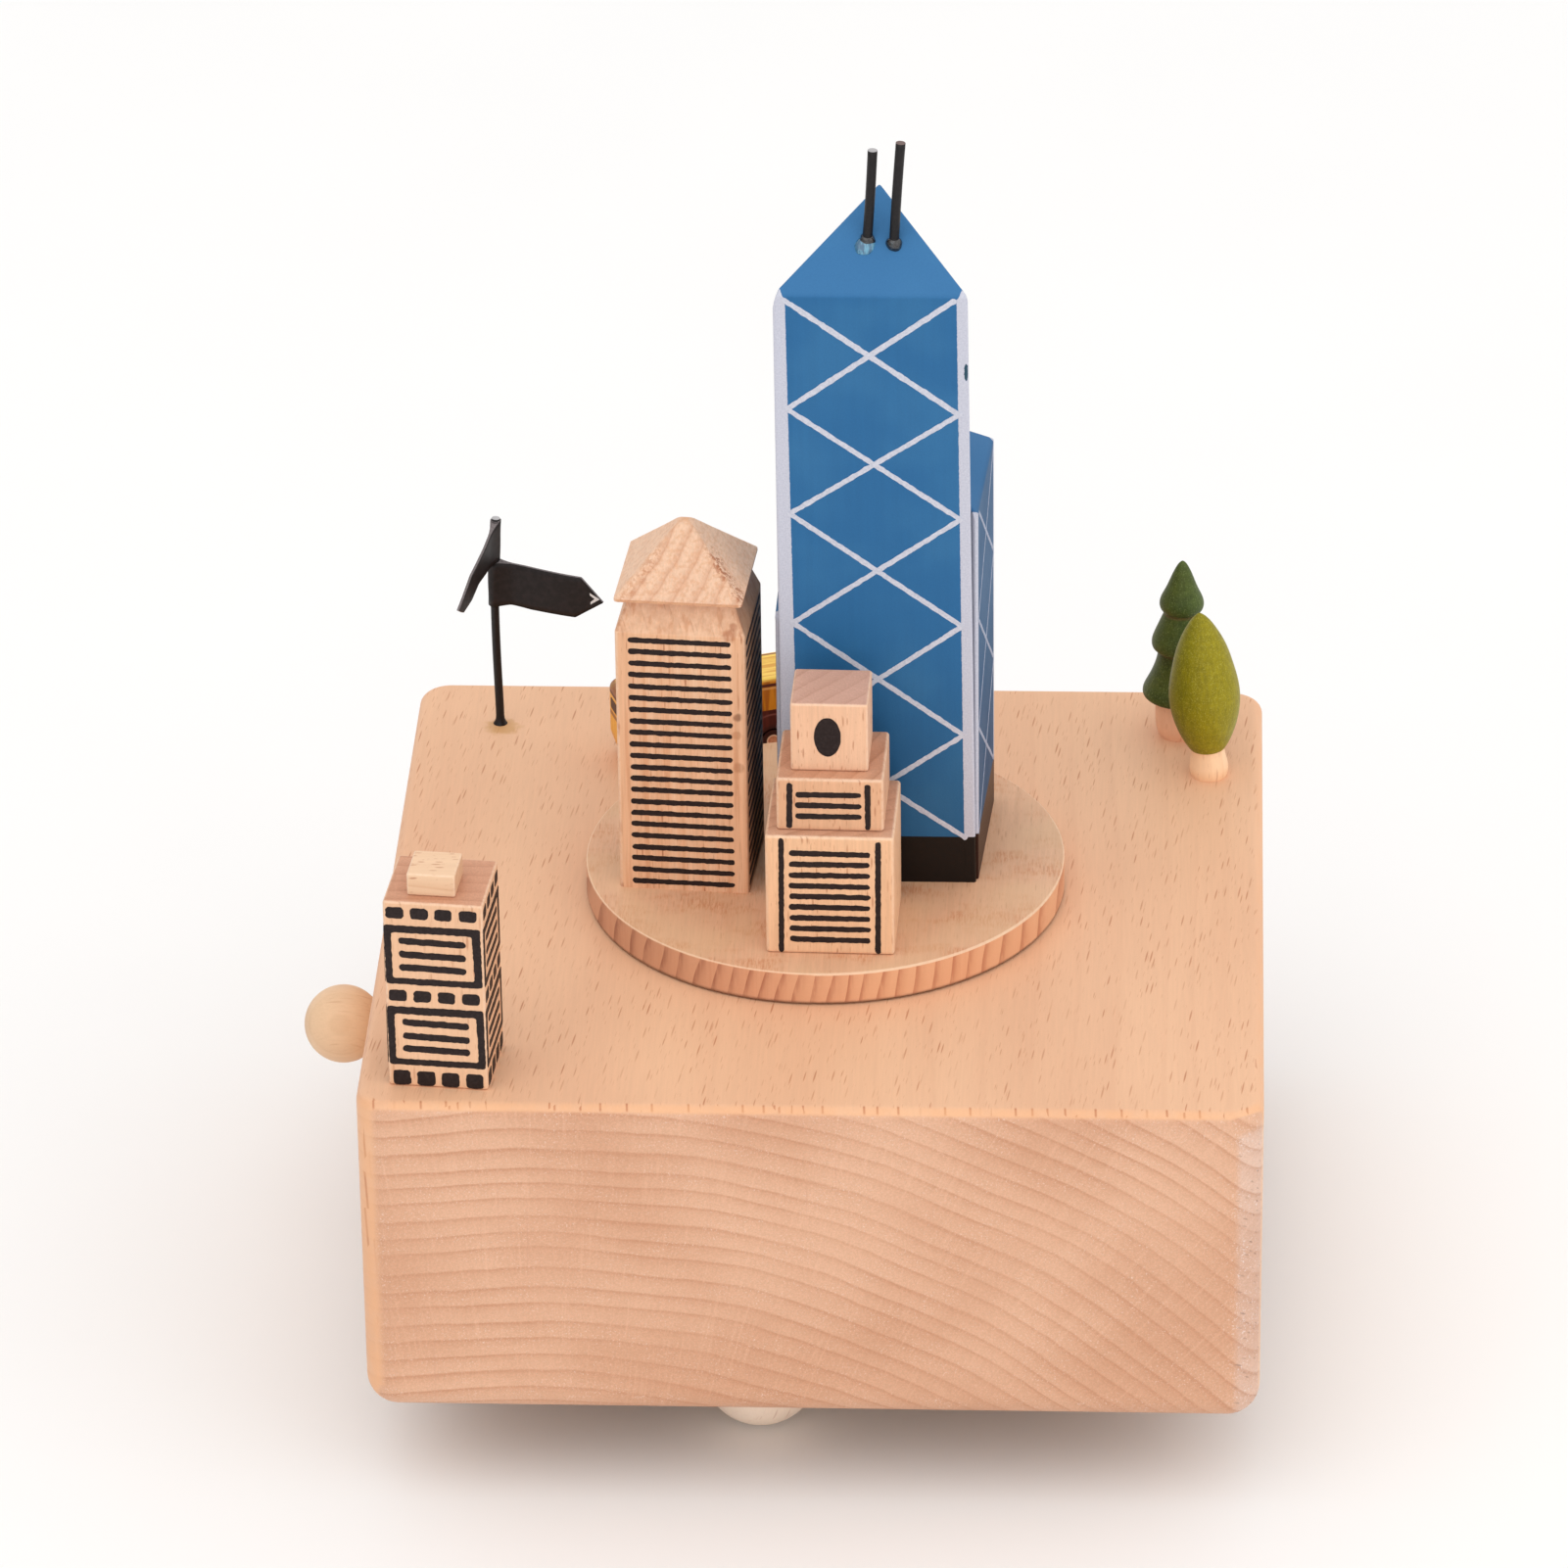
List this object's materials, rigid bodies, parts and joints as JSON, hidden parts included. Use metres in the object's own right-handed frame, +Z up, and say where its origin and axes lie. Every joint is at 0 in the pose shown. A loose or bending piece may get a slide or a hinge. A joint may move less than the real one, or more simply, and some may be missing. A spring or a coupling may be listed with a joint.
{
  "type": "wooden music box",
  "caption": "Square wooden music box with a revolving disc of toy buildings, a tram drawn round it by a magnet, toy trees, a signpost and wooden ball knobs.",
  "frame": {"origin": "where the turntable's axis meets the flat underside of the wooden base, 1.15 mm behind the middle of that face", "axes": "+Z up, along the turntable's axis; +X to the right and +Y away, as seen from the front, where the corner building stands at the left"},
  "size_m": [0.1218, 0.1077, 0.1604],
  "materials": {
    "base_wood": "pale pinkish beech, satin",
    "cover_board": "hardboard",
    "screw_steel": "zinc plated",
    "blue_steel": "tempered spring steel",
    "comb_steel": "ground steel",
    "plate_brass": "lacquered",
    "turned_brass": "turned",
    "white_plastic": "moulded acetal",
    "black_plastic": "moulded",
    "magnet_nickel": "nickel plated",
    "ball_wood": "plain turned wood",
    "disc_wood": "beech",
    "tower_paint": "blue paint with white lattice lines, matt",
    "antenna_wire": "black, bare at the cut ends",
    "stepped_lower": "plain wood, black printed lines",
    "stepped_middle": "plain wood, black printed lines",
    "stepped_top": "plain wood, black printed oval",
    "tall_paint": "plain wood, black printed lines",
    "tall_roof": "plain wood",
    "corner_paint": "plain wood, black printed windows",
    "fir_green": "dark green stain, satin",
    "oval_green": "yellow-green stain, satin",
    "trunk_wood": "plain turned wood",
    "pole_paint": "black wire",
    "flag_card": "black card",
    "tram_paint": "maroon, amber and yellow paint, satin"
  },
  "bodies": {
    "base": {"base_block": "base_wood", "bottom_cover": "cover_board", "cover_screws": "screw_steel", "movement_spacers": "turned_brass", "movement_screws": "screw_steel", "movement_bedplate": "plate_brass", "spring_drum": "turned_brass", "mainspring": "blue_steel", "comb": "comb_steel", "comb_block": "plate_brass", "comb_screws": "screw_steel", "cylinder_bearings": "plate_brass", "governor_frame": "plate_brass", "shaft_bush": "white_plastic", "thrust_washer": "white_plastic", "idler_post": "screw_steel", "corner_building": "corner_paint", "corner_building_cap": "corner_paint", "fir_crown": "fir_green", "fir_trunk": "trunk_wood", "oval_tree_crown": "oval_green", "oval_tree_trunk": "trunk_wood", "sign_pole": "pole_paint", "sign_flag_right": "flag_card", "sign_flag_left": "flag_card"},
    "turntable": {"turntable_disc": "disc_wood", "turntable_shaft": "screw_steel", "turntable_gear": "white_plastic", "magnet_arm": "black_plastic", "drive_magnet": "magnet_nickel", "shaft_clip": "screw_steel", "tower_front_shaft": "tower_paint", "tower_right_shaft": "tower_paint", "tower_left_shaft": "tower_paint", "tower_rear_shaft": "tower_paint", "antennas": "antenna_wire", "stepped_building_base": "stepped_lower", "stepped_building_middle": "stepped_middle", "stepped_building_top": "stepped_top", "tall_building": "tall_paint", "tall_building_roof": "tall_roof"},
    "idler": {"idler_wheel": "white_plastic"},
    "drive": {"drive_wheel": "white_plastic", "ratchet_pawl": "blue_steel"},
    "arbor": {"winding_arbor": "screw_steel", "ratchet_wheel": "blue_steel"},
    "winding_knob": {"winding_stem": "screw_steel", "winding_ball": "ball_wood"},
    "cylinder": {"pinned_cylinder": "turned_brass", "cylinder_arbor": "turned_brass"},
    "governor": {"governor_wheel": "white_plastic"},
    "fan": {"governor_spindle": "screw_steel", "governor_fan": "white_plastic"},
    "stop_knob": {"stop_rod": "screw_steel", "stop_ball": "ball_wood"},
    "tram": {"tram_body": "tram_paint", "tram_magnet": "magnet_nickel"},
    "tram_rear_wheels": {"tram_wheelset_rear": "trunk_wood"},
    "tram_front_wheels": {"tram_wheelset_front": "trunk_wood"}
  },
  "joints": [
    {"name": "turntable_spin", "type": "hinge", "parent": "base", "child": "turntable", "pos_m": [0, 0, 0.0446], "axis": [0, 0, 1], "continuous": true},
    {"name": "idler_spin", "type": "hinge", "parent": "base", "child": "idler", "pos_m": [-0.01599, -0.01511, 0.0333], "axis": [0, 0, 1], "continuous": true},
    {"name": "drive_spin", "type": "hinge", "parent": "base", "child": "drive", "pos_m": [-0.0072, -0.03527, 0.0333], "axis": [0, 0, 1], "continuous": true},
    {"name": "winding_turn", "type": "hinge", "parent": "drive", "child": "arbor", "pos_m": [-0.0072, -0.03527, 0.016], "axis": [0, 0, 1], "continuous": true},
    {"name": "knob_slide", "type": "slide", "parent": "arbor", "child": "winding_knob", "axis": [0, 0, 1], "range_m": [0, 0.0122]},
    {"name": "cylinder_spin", "type": "hinge", "parent": "base", "child": "cylinder", "pos_m": [-0.0072, -0.012, 0.0256], "axis": [0, 1, 0], "continuous": true},
    {"name": "governor_spin", "type": "hinge", "parent": "base", "child": "governor", "pos_m": [-0.0144, 0, 0.0256], "axis": [0, 1, 0], "continuous": true},
    {"name": "fan_spin", "type": "hinge", "parent": "base", "child": "fan", "pos_m": [-0.0194, 0.002, 0.02], "axis": [0, 0, 1], "continuous": true},
    {"name": "stop_slide", "type": "slide", "parent": "base", "child": "stop_knob", "axis": [1, 0, 0], "range_m": [0, 0.0015]},
    {"name": "tram_ride", "type": "hinge", "parent": "base", "child": "tram", "pos_m": [0, 0, 0.0446], "axis": [0, 0, 1], "continuous": true},
    {"name": "tram_rear_roll", "type": "hinge", "parent": "tram", "child": "tram_rear_wheels", "pos_m": [-0.01729, 0.03521, 0.04608], "axis": [-0.342, 0.9397, 0], "continuous": true},
    {"name": "tram_front_roll", "type": "hinge", "parent": "tram", "child": "tram_front_wheels", "pos_m": [-0.00939, 0.03808, 0.04608], "axis": [-0.342, 0.9397, 0], "continuous": true}
  ],
  "couplings": [
    {"joint": "idler_spin", "follows": "turntable_spin", "ratio": -0.83333},
    {"joint": "drive_spin", "follows": "turntable_spin", "ratio": 1},
    {"joint": "cylinder_spin", "follows": "turntable_spin", "ratio": -2.5},
    {"joint": "governor_spin", "follows": "turntable_spin", "ratio": 5.5},
    {"joint": "fan_spin", "follows": "turntable_spin", "ratio": 88},
    {"joint": "tram_ride", "follows": "turntable_spin", "ratio": 1},
    {"joint": "tram_rear_roll", "follows": "turntable_spin", "ratio": -26},
    {"joint": "tram_front_roll", "follows": "turntable_spin", "ratio": -26}
  ]
}
